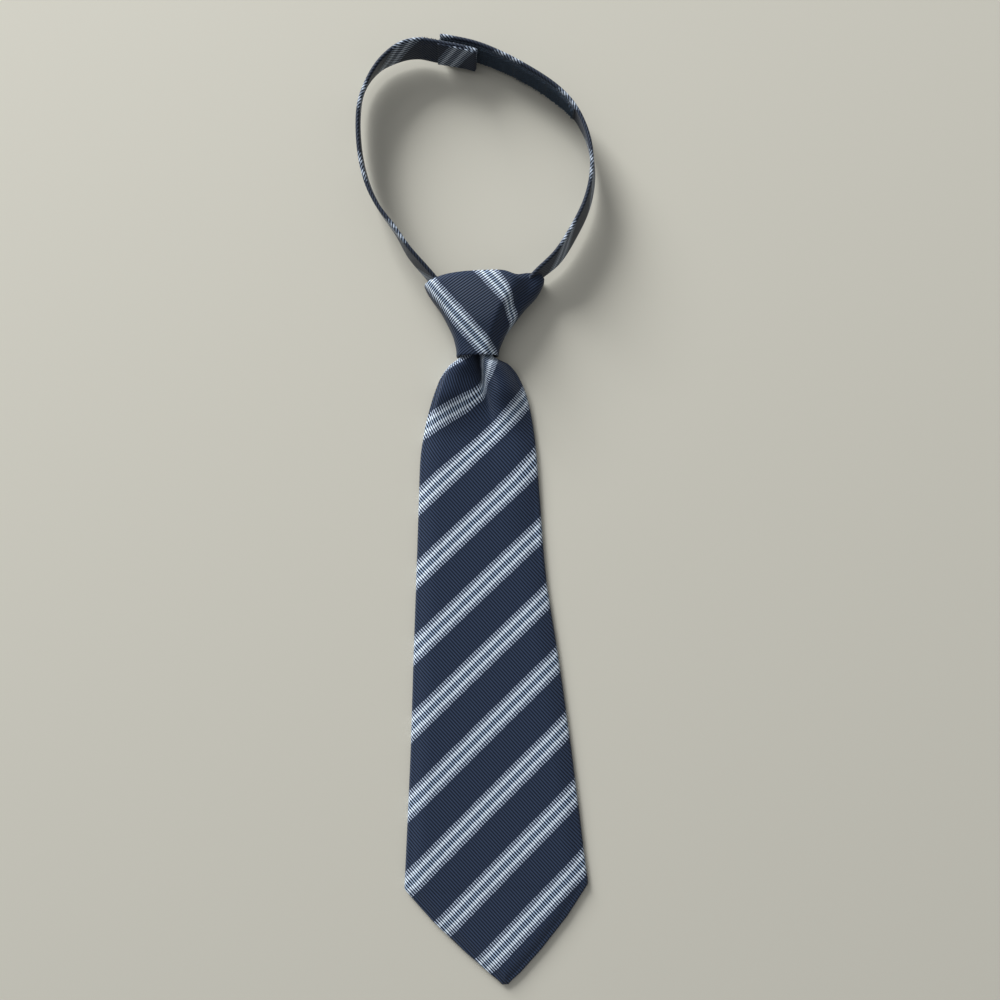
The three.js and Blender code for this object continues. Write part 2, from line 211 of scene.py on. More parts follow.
def reppMaterial(name, yarn, depth):
    # Woven polyester repp: weft ribs under fine warp, which give a silky, finely ridged surface
    material, tree, shader = newMaterial(name)
    cloth = addNode(tree, "ShaderNodeUVMap", {"uv_map": "cloth"})
    place = addNode(tree, "ShaderNodeSeparateXYZ", links={"Vector": cloth.outputs["UV"]})

    # Distance from the middle of the nearest stripe, as a share of half the repeat
    halfRepeat = repp["stripeEvery"] / 2
    drift = addNode(tree, "ShaderNodeTexNoise", {"noise_dimensions": "2D"},
                    {"Vector": cloth.outputs["UV"], "Scale": repp["driftScale"],
                     "Detail": repp["driftDetail"]})
    drifted = addNode(tree, "ShaderNodeMath", {"operation": "MULTIPLY_ADD"},
                      {0: drift.outputs["Fac"], 1: repp["drift"], 2: place.outputs["X"]})
    fromStripe = addNode(tree, "ShaderNodeMath", {"operation": "PINGPONG"},
                         {0: drifted.outputs[0], 1: halfRepeat})
    share = addNode(tree, "ShaderNodeMath", {"operation": "DIVIDE"},
                    {0: fromStripe.outputs[0], 1: halfRepeat})

    # Ribs: 1 on a rib's crown, 0 in the groove
    turns = addNode(tree, "ShaderNodeMath", {"operation": "MULTIPLY"},
                    {0: place.outputs["Y"], 1: 2 * math.pi / repp["ribEvery"]})
    wave = addNode(tree, "ShaderNodeMath", {"operation": "COSINE"}, {0: turns.outputs[0]})
    crown = addNode(tree, "ShaderNodeMath", {"operation": "MULTIPLY_ADD"},
                    {0: wave.outputs[0], 1: 0.5, 2: 0.5})

    # The light yarns, where they come up over the crowns
    half = repp["stripeHalf"] / halfRepeat
    lanes = addNode(tree, "ShaderNodeValToRGB", links={"Fac": share.outputs[0]})
    fillRamp(lanes, [(at * half, linear(yarn[name])[:3] + (cover,)) for at, name, cover in stripeLanes])
    start = addNode(tree, "ShaderNodeValToRGB", links={"Fac": share.outputs[0]})
    fillRamp(start, [(at * half, (level, level, level, 1)) for at, level in threadStarts])
    full = addNode(tree, "ShaderNodeMath", {"operation": "ADD"},
                   {0: start.outputs["Color"], 1: repp["yarnEdge"]})
    shows = addNode(tree, "ShaderNodeMapRange", {"interpolation_type": "SMOOTHSTEP"},
                    {"Value": crown.outputs[0], "From Min": start.outputs["Color"],
                     "From Max": full.outputs[0]})
    cover = addNode(tree, "ShaderNodeMath", {"operation": "MULTIPLY"},
                    {0: shows.outputs["Result"], 1: lanes.outputs["Alpha"]})

    fleck = addNode(tree, "ShaderNodeTexNoise", {"noise_dimensions": "2D"},
                    {"Vector": cloth.outputs["UV"], "Scale": repp["fleckScale"],
                     "Detail": repp["fleckDetail"]})
    uneven = addNode(tree, "ShaderNodeMapRange",
                     links={"Value": fleck.outputs["Fac"], "From Min": repp["fleckFrom"],
                            "From Max": repp["fleckTo"], "To Min": repp["fleckShade"], "To Max": 1.0})
    lightYarn = addNode(tree, "ShaderNodeMath", {"operation": "MULTIPLY"},
                        {0: cover.outputs[0], 1: uneven.outputs["Result"]})

    # Navy warp under them, its own colour on the crowns, with painted shade that darkens it in the
    # grooves between the ribs
    ground = addNode(tree, "ShaderNodeMix", {"data_type": "RGBA"},
                     {"Factor": crown.outputs[0], "A": linear(yarn["grooveShade"]),
                      "B": linear(yarn["ground"])})
    woven = addNode(tree, "ShaderNodeMix", {"data_type": "RGBA"},
                    {"Factor": lightYarn.outputs[0], "A": ground.outputs["Result"],
                     "B": lanes.outputs["Color"]})
    bump = addNode(tree, "ShaderNodeBump", links={"Height": crown.outputs[0], "Strength": 1.0,
                                                  "Distance": depth * mm})
    tree.links.new(woven.outputs["Result"], shader.inputs["Base Color"])
    tree.links.new(bump.outputs["Normal"], shader.inputs["Normal"])
    shader.inputs["Roughness"].default_value = repp["roughness"]
    shader.inputs["Specular IOR Level"].default_value = repp["shine"]
    shader.inputs["Sheen Weight"].default_value = repp["sheen"]
    return material


wrongSide = {"colour": "#1d2231", "thread": "#2e3548", "every": 0.5, "detail": 3.0, "bump": 0.1,
             "roughness": 0.8}


def wrongSideMaterial():
    # The back of the same cloth: floating navy yarn with no stripe, matt and a little hairy
    material, tree, shader = newMaterial("backOfRepp")
    cloth = addNode(tree, "ShaderNodeUVMap", {"uv_map": "cloth"})
    yarn = addNode(tree, "ShaderNodeTexNoise", {"noise_dimensions": "2D"},
                   {"Vector": cloth.outputs["UV"], "Scale": 1 / wrongSide["every"],
                    "Detail": wrongSide["detail"]})
    colour = addNode(tree, "ShaderNodeMix", {"data_type": "RGBA"},
                     {"Factor": yarn.outputs["Fac"], "A": linear(wrongSide["colour"]),
                      "B": linear(wrongSide["thread"])})
    bump = addNode(tree, "ShaderNodeBump", links={"Height": yarn.outputs["Fac"],
                                                  "Distance": wrongSide["bump"] * mm})
    tree.links.new(colour.outputs["Result"], shader.inputs["Base Color"])
    tree.links.new(bump.outputs["Normal"], shader.inputs["Normal"])
    shader.inputs["Roughness"].default_value = wrongSide["roughness"]
    return material


tapeLook = {"weaveEvery": 0.7, "colour": "#1f2832", "yarn": "#36434f", "bump": 0.08, "roughness": 0.88,
            "sheen": 0.06}


def tapeMaterial():
    # Woven nylon tape: a dense plain weave that hardly shines
    material, tree, shader = newMaterial("wovenNylonTape")
    cloth = addNode(tree, "ShaderNodeUVMap", {"uv_map": "cloth"})
    weave = addNode(tree, "ShaderNodeTexChecker",
                    links={"Vector": cloth.outputs["UV"], "Scale": 1 / tapeLook["weaveEvery"]})
    colour = addNode(tree, "ShaderNodeMix", {"data_type": "RGBA"},
                     {"Factor": weave.outputs["Fac"], "A": linear(tapeLook["colour"]),
                      "B": linear(tapeLook["yarn"])})
    bump = addNode(tree, "ShaderNodeBump", links={"Height": weave.outputs["Fac"],
                                                  "Distance": tapeLook["bump"] * mm})
    tree.links.new(colour.outputs["Result"], shader.inputs["Base Color"])
    tree.links.new(bump.outputs["Normal"], shader.inputs["Normal"])
    shader.inputs["Roughness"].default_value = tapeLook["roughness"]
    shader.inputs["Sheen Weight"].default_value = tapeLook["sheen"]
    return material


yarnLook = {
    "pile": ("brushedNylonLoops", "#3d4c5a", 0.8),  # soft and matt, a shade lighter than its tape
    "hook": ("mouldedNylonHooks", "#1a2027", 0.35),  # stiff monofilament with a small glint
    "thread": ("spunPolyesterThread", "#20273a", 0.6),  # sewing thread that nearly matches the cloth
}
yarnTone = {"scale": 900.0, "darker": 0.6, "lighter": 1.4}  # tone that changes about every millimetre


def yarnMaterial(key):
    name, colour, roughness = yarnLook[key]
    material, tree, shader = newMaterial(name)
    place = addNode(tree, "ShaderNodeTexCoord")
    tone = addNode(tree, "ShaderNodeTexNoise", links={"Vector": place.outputs["Object"],
                                                      "Scale": yarnTone["scale"]})
    shade = addNode(tree, "ShaderNodeMapRange", links={"Value": tone.outputs["Fac"],
                                                       "To Min": yarnTone["darker"],
                                                       "To Max": yarnTone["lighter"]})
    mixed = addNode(tree, "ShaderNodeMix", {"data_type": "RGBA", "blend_type": "MULTIPLY"},
                    {"Factor": 1.0, "A": linear(colour), "B": shade.outputs["Result"]})
    tree.links.new(mixed.outputs["Result"], shader.inputs["Base Color"])
    shader.inputs["Roughness"].default_value = roughness
    return material


# The strap's cloth has been pressed, which leaves its ribs flatter; its yarn colours are the blade's
# made dimmer and greyer, painted shade on the strap
reppCloth = reppMaterial("wovenPolyesterRepp", freshYarn, repp["ribDepth"])
strapReppPaintedShade = reppMaterial("strapPolyesterReppPaintedShade", strapYarnPaintedShade, repp["pressedDepth"])
reppBack = wrongSideMaterial()
wovenTape = tapeMaterial()
pileYarn = yarnMaterial("pile")
hookYarn = yarnMaterial("hook")
sewingThread = yarnMaterial("thread")
say("cloth, tape and thread")


# Smooth tables and cloth made from a grid

def table(columns, rows):
    names = columns.split()
    return [dict(zip(names, row)) for row in rows]


def smoothRow(rows, place):
    # a smooth curve through the rows, read at a place such as 2.4, between rows 2 and 3
    low = min(int(place), len(rows) - 2)
    t = place - low
    near = [rows[min(max(low + i, 0), len(rows) - 1)] for i in (-1, 0, 1, 2)]
    mixed = {}
    for name in rows[0]:
        before, start, end, after = (row[name] for row in near)
        slopeIn, slopeOut = (end - before) / 2, (after - start) / 2
        mixed[name] = (start * (2 * t ** 3 - 3 * t ** 2 + 1) + slopeIn * (t ** 3 - 2 * t ** 2 + t)
                       + end * (3 * t ** 2 - 2 * t ** 3) + slopeOut * (t ** 3 - t ** 2))
    return mixed


def finerRows(rows, spacing, distance):
    # rows about one spacing apart, measured by distance(a, b)
    fine = []
    for i in range(len(rows) - 1):
        steps = max(1, round(distance(rows[i], rows[i + 1]) / spacing))
        fine += [smoothRow(rows, i + k / steps) for k in range(steps)]
    return fine + [dict(rows[-1])]


def lengthsAlong(points):
    # how far along the polyline each of its points lies
    lengths = [0.0]
    for a, b in zip(points, points[1:]):
        lengths.append(lengths[-1] + math.dist(a, b))
    return lengths


def evenly(points, steps):
    # points walked in equal steps along their polyline
    lengths = lengthsAlong(points)
    walked = []
    i = 0
    for k in range(steps + 1):
        target = lengths[-1] * k / steps
        while i < len(points) - 2 and lengths[i + 1] < target:
            i += 1
        span = lengths[i + 1] - lengths[i]
        walked.append(points[i].lerp(points[i + 1], (target - lengths[i]) / span if span else 0))
    return walked


def smoothstep(low, high, x):
    t = min(1.0, max(0.0, (x - low) / (high - low)))
    return t * t * (3 - 2 * t)


def bell(x):
    return math.exp(-(x ** 2))


weldWithin = 0.02  # points closer than this are joined, which closes a tube along its back


def clothFromGrid(rowSteps, colSteps, shape, weld=False):
    # a flat grid whose vertices are moved by shape(row, col), which also gives their cloth position
    bm = bmesh.new()
    bmesh.ops.create_grid(bm, x_segments=colSteps, y_segments=rowSteps, size=1)
    clothMap = bm.loops.layers.uv.new("cloth")
    clothAt = {}
    for vert in bm.verts:
        row = round((vert.co.y + 1) / 2 * rowSteps)
        col = round((vert.co.x + 1) / 2 * colSteps)
        point, clothAt[vert] = shape(row, col)
        vert.co = point * mm
    for face in bm.faces:
        face.smooth = True
        for loop in face.loops:
            loop[clothMap].uv = clothAt[loop.vert]
    if weld:
        bmesh.ops.remove_doubles(bm, verts=bm.verts, dist=weldWithin * mm)
    return bm


def makePiece(name, bm, materials):
    mesh = bpy.data.meshes.new(name)
    bm.to_mesh(mesh)
    bm.free()
    for material in materials:
        mesh.materials.append(material)
    piece = bpy.data.objects.new(name, mesh)
    bpy.context.collection.objects.link(piece)
    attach(piece, "root")
    return piece


def makeCloth(name, bm, materials, wall=0.0):
    # faces turned outwards, then a wall inwards from them, with the last material on its inside
    if bm.calc_volume(signed=True) < 0:
        bmesh.ops.reverse_faces(bm, faces=bm.faces)
    piece = makePiece(name, bm, materials)
    if wall:
        solid = piece.modifiers.new("wall", "SOLIDIFY")
        solid.thickness = wall * mm
        solid.offset = -1
        solid.material_offset = len(materials) - 1
    return piece


# Blade

bladeLook = {
    "wall": 0.7,
    "rowSpacing": 1.15,
    "edgeRadius": 1.4,
    "seamGap": 0.25,
    "flapSteps": 16,
    "rollSteps": 6,
    "frontSteps": 70,
    "rollShare": 0.3,  # near the tip the edges roll no wider than this share of the width
    "tipHeight": 3.2,
    "tipRound": 2.6,
    "tipThin": 0.05,  # square of the share of its height that is left at the very tip
    "frontLift": 2.3,  # the front cloth never sinks lower than this on the flaps
    "edgeDroop": 1.3,  # the front rolls off towards its side edges
    "droopWidth": 7.0,
    "dimpleWidth": 0.16,  # as a share of the way to the side edge
    "softEdgeAt": -86.0,  # the right edge is pressed less sharply here
    "softEdgeLength": 14.0,
    "softEdgeWidth": 8.0,
    "softEdgeDroop": 0.5,
    # Stripe number of a place on the flat cloth: whole numbers are the middles of the stripes
    "stripeAt": 1.0213,
    "stripePerX": 0.03235,
    "stripePerY": -0.03969,
    "stripeBend": -0.0000129,
    "ribTurn": 40.6,
    "crestLeft": 0.86,  # where a lobe is highest, as a share of the way from dimple to side edge
    "crestRight": 0.42,
    "gatherFrom": -56.0,  # above this the cloth is wider than the outline
    "cutLeft": 24.3,
    "cutRight": 21.0,
    "cutTaper": 0.022,
    "shoulder": -24.5,  # above this the cloth rolls over at its shoulders
    "shoulderLeft": (14.9, 0.2),  # its half width there, and how fast that narrows upwards
    "shoulderRight": (14.9, 0.75),
    "crowding": 1.085,  # how tight the lobes take up spare cloth; the rest goes into the dimple's fold
    "leanFrom": -20.0,  # the knot's lower edge, where the fold and the crease start
    "fold": (0.2, -0.18),  # where the fold runs there, and how it leans
    "foldWidth": 1.1,
    "crease": (0.7, 0.35),  # the cloth hangs from this line, and fans out to both sides of it
    "fanFrom": -68.5,
    "fanTo": -37.5,
    "fanDrop": 0.085,
    "fanLeft": 0.26,
    "fanRight": 0.14,
}

# The blade from its neck down: reach to the left and right of x = 0, height of the front, how far the
# lobes swell and the dimple sinks, where the dimple runs, half the slit between the flaps, and how far
# the back lies above the table
bladeRows = table("y left right height lobe dimple shift vee lift", [
    (9, 8.5, 11.5, 10.5, 0, 0, 0, 0, 1.7),
    (2, 8.0, 10.5, 10.8, 0, 0, 0, 0, 1.7),
    (-6, 6.6, 8.4, 9.4, 0, 0.6, 0, 0, 1.7),
    (-13, 6.0, 6.0, 6.8, 1.2, 2.2, 0, 0, 1.7),
    (-17.3, 7.4, 5.9, 5.4, 2.4, 2.4, 0, 0, 1.7),
    (-20, 11.1, 11.2, 4.5, 4.8, 1.6, 0.2, 0, 1.2),
    (-24.5, 14.9, 14.9, 4.0, 5.7, 1.4, 1.0, 0, 0.3),
    (-31, 17.9, 17.6, 3.8, 5.4, 1.0, 2.2, 0, 0),
    (-38, 20.4, 19.2, 3.7, 2.4, 0.5, 3.2, 0, 0),
    (-46, 22.5, 20.3, 3.7, 0.5, 0.1, 4.0, 0, 0),
    (-56, 24.3, 21.0, 3.8, 0.2, 0, 4.0, 0, 0),
    (-73, 25.6, 21.6, 3.8, 0, 0, 2.0, 0, 0),
    (-103, 27.8, 22.8, 3.7, 0, 0, 0, 0, 0),
    (-135, 30.2, 26.4, 3.6, 0, 0, 0, 0, 0),
    (-166, 32.4, 29.5, 3.6, 0, 0, 0, 0, 0),
    (-190, 34.4, 31.6, 3.5, 0, 0, 0, 0, 0),
    (-212, 36.3, 33.4, 3.4, 0, 0, 0, 14, 0),
    (-221.7, 37.1, 34.3, 3.3, 0, 0, 0, 20.5, 0),
])
# The point, with straight edges between its rows
tipRows = table("y left right vee", [
    (-223, 36.4, 34.2, 21.5),
    (-235, 26.6, 25.8, 13),
    (-247, 14.9, 15.6, 3),
    (-256, 5.4, 6.9, 0),
    (-259, 2.1, 3.3, 0),
    (-260.4, 0.7, 1.9, 0),
])


def bladeStations():
    plain = {"height": bladeLook["tipHeight"], "lobe": 0, "dimple": 0, "shift": 0, "lift": 0}
    body = finerRows(bladeRows, bladeLook["rowSpacing"], lambda a, b: abs(a["y"] - b["y"]))
    corners = [bladeRows[-1], *({**row, **plain} for row in tipRows)]
    tip = []
    for above, below in zip(corners, corners[1:]):
        steps = max(1, round(abs(above["y"] - below["y"]) / bladeLook["rowSpacing"]))
        for k in range(1, steps + 1):
            tip.append({name: above[name] + (below[name] - above[name]) * k / steps for name in above})
    rows = body + tip
    for i, row in enumerate(rows):
        a, b = rows[max(i - 1, 0)], rows[min(i + 1, len(rows) - 1)]
        row["slopeLeft"] = (a["left"] - b["left"]) / (a["y"] - b["y"])
        row["slopeRight"] = (a["right"] - b["right"]) / (a["y"] - b["y"])
    return rows


def bladeFront(row, x):
    # height of the front: two lobes, the dimple between them and the roll-off to the side edges
    look = bladeLook
    side = row["left"] + row["shift"] if x < row["shift"] else row["right"] - row["shift"]
    across = (x - row["shift"]) / side
    crest = look["crestLeft"] if across < 0 else look["crestRight"]
    out = min(1, abs(across))
    swell = row["lobe"] * (math.sin(math.pi / 2 * out / crest) if out < crest
                           else math.cos(math.pi / 2 * (out - crest) / (1 - crest)))
    fold = row["dimple"] * bell(across / look["dimpleWidth"])
    inside = min(x + row["left"], row["right"] - x) - look["edgeRadius"]
    soft = bell((row["y"] - look["softEdgeAt"]) / look["softEdgeLength"]) if x > 0 else 0
    width = look["droopWidth"] + look["softEdgeWidth"] * soft
    depth = look["edgeDroop"] + look["softEdgeDroop"] * soft
    droop = depth * (1 - min(1, max(0, inside) / width)) ** 2
    return max(look["frontLift"], row["height"] + swell - fold - droop)


def bladeCloth(row, x):
    # where a point of the front lies on the flat cloth
    look = bladeLook
    y, left, right = row["y"], row["left"], row["right"]
    if y > look["shoulder"]:
        left, right = (max(side, start - narrowing * (y - look["shoulder"]))
                       for side, (start, narrowing) in ((left, look["shoulderLeft"]),
                                                        (right, look["shoulderRight"])))
    above = y - look["gatherFrom"]
    cutLeft, cutRight = left, right
    if above > 0:
        cutLeft = max(left, look["cutLeft"] - look["cutTaper"] * above)
        cutRight = max(right, look["cutRight"] - look["cutTaper"] * above)
    hidden = max(0, cutLeft + cutRight - look["crowding"] * (left + right))
    pull = (cutLeft + cutRight - hidden) / (left + right)
    foldX = look["fold"][0] + look["fold"][1] * (y - look["leanFrom"])
    u = -cutLeft + pull * (x + left) + hidden * (1 + math.tanh((x - foldX) / look["foldWidth"])) / 2
    creaseX = look["crease"][0] + look["crease"][1] * (y - look["leanFrom"])
    side = look["fanLeft"] if x < creaseX else look["fanRight"]
    fan = smoothstep(look["fanFrom"], look["fanTo"], y)
    v = y + fan * (look["fanDrop"] * (y - look["fanFrom"]) - side * abs(x - creaseX))
    return u, v


def reppPlace(u, v):
    # place across the stripes and along them of a point of the flat cloth
    number = (bladeLook["stripeAt"] + bladeLook["stripePerX"] * u + bladeLook["stripePerY"] * v
              + bladeLook["stripeBend"] * v * v)
    turn = math.radians(bladeLook["ribTurn"])
    return number * repp["stripeEvery"], u * math.cos(turn) + v * math.sin(turn)


def bladeSection(row):
    # the cloth's outer skin from the slit round the left edge, the front and the right edge
    look = bladeLook
    middle = (row["right"] - row["left"]) / 2
    slit = max(look["seamGap"] / 2, row["vee"])
    roll = min(look["edgeRadius"], (row["right"] + row["left"]) * look["rollShare"])
    start, end = roll - row["left"], row["right"] - roll

    def folded(side, past):
        # cloth that has passed round a side edge lies mirrored about that edge
        edgeX = -row["left"] if side < 0 else row["right"]
        slope = -row["slopeLeft"] if side < 0 else row["slopeRight"]
        along = Vector((slope, 1)).normalized()
        u, v = bladeCloth(row, edgeX)
        if past <= 0:
            return reppPlace(u + side * past, v)
        inwards = -side * past
        return reppPlace(u + 2 * inwards * along.x ** 2 - inwards, v + 2 * inwards * along.x * along.y)

    def edge(side):
        centre = start if side < 0 else end
        top = bladeFront(row, centre)
        arc = math.pi * (roll + top / 2) / 2
        for i in range(look["rollSteps"] + 1):
            turn = i / look["rollSteps"]  # 0 under the edge, 1 on top of it
            angle = math.pi * (turn - 0.5)
            x = centre + side * roll * math.cos(angle)
            z = top / 2 + top / 2 * math.sin(angle)
            yield Vector((x, z)), folded(side, arc * (1 - turn) - roll)

    def flap(side):
        centre = start if side < 0 else end
        arc = math.pi * (roll + bladeFront(row, centre) / 2) / 2 - roll
        reach = abs(centre - (middle + side * slit))
        for i in range(look["flapSteps"]):
            past = reach * (1 - i / look["flapSteps"])
            yield Vector((centre - side * past, 0)), folded(side, arc + past)

    points = list(flap(-1)) + list(edge(-1))
    for i in range(1, look["frontSteps"]):
        x = start + (end - start) * i / look["frontSteps"]
        points.append((Vector((x, bladeFront(row, x))), reppPlace(*bladeCloth(row, x))))
    points += list(edge(1))[::-1] + list(flap(1))[::-1]
    return points


def makeBlade():
    look = bladeLook
    rows = bladeStations()
    sections = [bladeSection(row) for row in rows]
    end = rows[-1]["y"]

    def shape(row, col):
        flat, cloth = sections[row][col]
        y, z = rows[row]["y"], flat.y
        near = 1 - (y - end) / look["tipRound"]  # 1 at the very tip, which is rounded off
        if near > 0:
            middle = look["tipHeight"] / 2
            z = middle + (z - middle) * math.sqrt(max(look["tipThin"], 1 - near * near))
        return Vector((flat.x, y, z + max(0, rows[row]["lift"]))), cloth

    bm = clothFromGrid(len(rows) - 1, len(sections[0]) - 1, shape)
    blade = makeCloth("bladeCloth", bm, [reppCloth, reppBack], look["wall"])
    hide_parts("blade")
    return blade


blade = makeBlade()
say("blade")


# Knot

knotLook = {
    "wall": 0.5,
    "edgeRadius": 0.6,
    "rollSteps": 6,
    "hemRows": 4,  # rows of the hem inside the knot, a millimetre apart
    "rowSpacing": 0.7,
    "around": 150,
    "finer": 720,  # points of a loop before it is walked in equal steps
    "seat": 0.32,  # height of the widest place, as a share of the whole
    "sidePower": 0.55,  # 1 is a round loop; less makes its sides, front and back flatter
    "frontPower": 0.62,
    "backPower": 0.3,
    "backFlat": 1.05,
    "archPower": 3,
    "foldBefore": 0.12,  # how far the fold's step reaches to its left and right
    "foldAfter": 0.3,
    "notchWidth": 0.16,
    "stripeTurn": 49.6,  # the stripes fall to the right
    "firstStripe": -6.95,
    "stripeEvery": 19.3,
    "pull": 3.5,  # the wrap is pulled down at its right side, and the stripes with it
    "pullFrom": 10.0,
    "pullTo": 19.0,
    "pushBack": 7.0,  # beyond it the cloth turns under, and the next stripe stays out of sight
    "pushEnd": 29.0,
    "stripePinch": 0.45,  # the stripes look a little narrower on the knot than on the blade
    "ribTurn": 57.7,
    "ribEvery": 0.915,
}

# The knot from top to bottom: reach to the left and right of x = 0, height, how far a row drops towards
# its left and right ends, how far the front sinks right of the fold, how far a row dips at the fold, and
# where the fold is, as a share of the way from the middle to the right side
knotRows = table("y left right height arch archRight wing notch foldAt", [
    (14.1, 19.6, 26.2, 15.2, 3.2, 1.0, 5.0, 1.6, 0.55),
    (12.0, 19.0, 26.4, 16.0, 3.2, 1.6, 4.8, 1.4, 0.55),
    (7.0, 16.8, 23.6, 16.2, 2.0, 1.6, 4.0, 0.7, 0.55),
    (1.5, 13.9, 18.9, 15.8, 0.8, 0.8, 4.0, 0.3, 0.5),
    (-4.0, 11.5, 14.7, 15.0, 0.2, 0.2, 3.2, 0, 0.5),
    (-9.0, 9.5, 10.9, 13.6, 0, 0, 2.2, 0, 0.5),
    (-14.0, 8.5, 8.4, 12.2, 0, 0, 1.6, 0, 0.5),
    (-17.0, 8.5, 7.8, 11.6, 0, 0, 1.4, 0, 0.5),
])


def knotLoop(row, inset):
    # once round the knot, starting and ending in the middle of the back
    look = knotLook
    middle = (row["right"] - row["left"]) / 2
    half = (row["right"] + row["left"]) / 2 - inset
    seat = row["height"] * look["seat"]
    points = []
    for i in range(look["finer"] + 1):
        angle = 2 * math.pi * (i / look["finer"]) - math.pi / 2
        across = math.copysign(abs(math.cos(angle)) ** look["sidePower"], math.cos(angle))
        past = across - row["foldAt"]
        y = row["y"] - row["arch" if across < 0 else "archRight"] * abs(across) ** look["archPower"]
        if math.sin(angle) >= 0:
            share = math.sin(angle) ** look["frontPower"]
            sunk = row["wing"] * smoothstep(-look["foldBefore"], look["foldAfter"], past)
            z = seat + (row["height"] - seat - inset - sunk) * share
            if row["y"] > 0:
                y -= row["notch"] * bell(past / look["notchWidth"]) * share
        else:
            share = min(1, look["backFlat"] * abs(math.sin(angle)) ** look["backPower"])
            z = seat + (inset - seat) * share
        points.append(Vector((middle + half * across, y, z)))
    return evenly(points, look["around"])


def knotStations():
    # rows from inside the top hem, over its roll, down the outside and round into the bottom hem
    look = knotLook
    rows = finerRows(knotRows, look["rowSpacing"], lambda a, b: abs(a["y"] - b["y"]))
    r = look["edgeRadius"]
    outside = [row for row in rows if knotRows[-1]["y"] + r < row["y"] < knotRows[0]["y"] - r]
    stations = []

    def hem(row, side):
        for i in range(look["rollSteps"] + 1):
            angle = math.pi * i / look["rollSteps"]
            yield {**row, "y": row["y"] + side * r * (math.sin(angle) - 1)}, r * (1 - math.cos(angle))
        for depth in range(1, look["hemRows"] + 1):
            y = row["y"] - side * (r + depth)
            yield min(rows, key=lambda outer: abs(outer["y"] - y)), 2 * r

    stations += list(hem(rows[0], 1))[::-1]
    stations += [(row, 0) for row in outside]
    stations += list(hem(rows[-1], -1))
    return stations


def knotCloth(point, walked):
    # walked is the distance round the knot from the line straight above the origin
    turn, ribTurn = math.radians(knotLook["stripeTurn"]), math.radians(knotLook["ribTurn"])
    across = walked * math.sin(turn) + point.y * math.cos(turn) - knotLook["firstStripe"]
    across += knotLook["pull"] * smoothstep(knotLook["pullFrom"], knotLook["pullTo"], walked)
    across -= knotLook["pushBack"] * smoothstep(knotLook["pullTo"], knotLook["pushEnd"], walked)
    across *= repp["stripeEvery"] / knotLook["stripeEvery"]
    across += knotLook["stripePinch"] * math.sin(2 * math.pi * across / repp["stripeEvery"])
    along = walked * math.cos(ribTurn) - point.y * math.sin(ribTurn)
    return across, along * repp["ribEvery"] / knotLook["ribEvery"]


def makeKnot():
    stations = knotStations()
    loops = [knotLoop(row, inset) for row, inset in stations]
    walks = []
    for loop in loops:
        lengths = lengthsAlong(loop)
        top = max(range(len(loop)), key=lambda i: loop[i].z - abs(loop[i].x))  # nearest to that line
        zero = lengths[top] + loop[top].x
        walks.append([zero - length for length in lengths])

    def shape(row, col):
        return loops[row][col], knotCloth(loops[row][col], walks[row][col])

    bm = clothFromGrid(len(stations) - 1, knotLook["around"], shape, weld=True)
    knot = makeCloth("knotCloth", bm, [reppCloth, reppBack], knotLook["wall"])
    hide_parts("knot")
    return knot


knot = makeKnot()
say("knot")


# Neck strap: two folded and pressed tubes of the same cloth, standing on edge

strapLook = {
    "width": 12.0,
    "thick": 1.5,
    "wall": 0.35,
    "spacing": 1.0,
    "faceSteps": 14,
    "edgeSteps": 5,
    "overlap": 15.5,
    "pastEnd": 1.0,  # the left end reaches this far past the right one
    "lapSpacing": 4.0,
    "closureStep": 4.0,  # centre to centre of the two lapped straps
    "closureRise": 1.2,
    "tuckLength": 1.2,  # the free end is tucked in and pressed flat
    "tuckPinch": 0.45,
    "stripeEvery": 27.8,  # along the strap
    "leftStripe": 59.0,  # distance from the knot of a stripe's middle on the upper edge
    "rightStripe": 58.3,
}

# Each half from inside the knot on: its middle line, how high its lower edge lies above the table, how
# many degrees its upper edge leans outwards, and its width
rightStrapRows = table("x y foot lean width", [
    (16.0, 5.0, 2.2, -14, 8.8),
    (20.0, 9.4, 2.2, -14, 8.8),
    (24.1, 13.3, 2.3, -14, 9.4),
    (31.8, 19.5, 2.5, -13, 12),
    (38.2, 28.6, 2.8, -12, 12),
    (43.4, 38.4, 2.8, -11, 12),
    (46.1, 48.4, 2.5, -9, 12),
    (46.3, 58.0, 2.2, -7, 12),
    (44.4, 67.0, 1.6, -5, 12),
    (40.2, 75.6, 1.0, -1, 12),
    (33.7, 82.5, 0.5, 5, 12),
    (25.4, 88.8, 0.2, 6, 12),
    (14.2, 95.4, 0, 8, 12),
    (3.0, 100.1, 0, 12, 12),
    (-9.9, 103.0, 0, 15, 12),
])
leftStrapRows = table("x y foot lean width", [
    (-10.6, 5.0, 2.3, -12, 9.0),
    (-14.3, 10.6, 2.3, -12, 9.0),
    (-19.2, 16.6, 2.4, -10, 10.4),
    (-24.7, 23.4, 2.6, -6, 12),
    (-29.6, 31.8, 3.0, 0, 12),
    (-35.8, 41.2, 3.2, 3, 12),
    (-39.9, 51.2, 3.2, 1, 12),
    (-42.0, 63.6, 3.2, -3, 12),
    (-41.8, 77.2, 3.0, -7, 12),
    (-39.0, 87.2, 2.8, -14, 12),
    (-33.4, 94.8, 2.6, -8, 12),
    (-25.6, 99.6, 2.4, 6, 12),
    (-18.4, 101.0, 2.2, 12, 12),
])


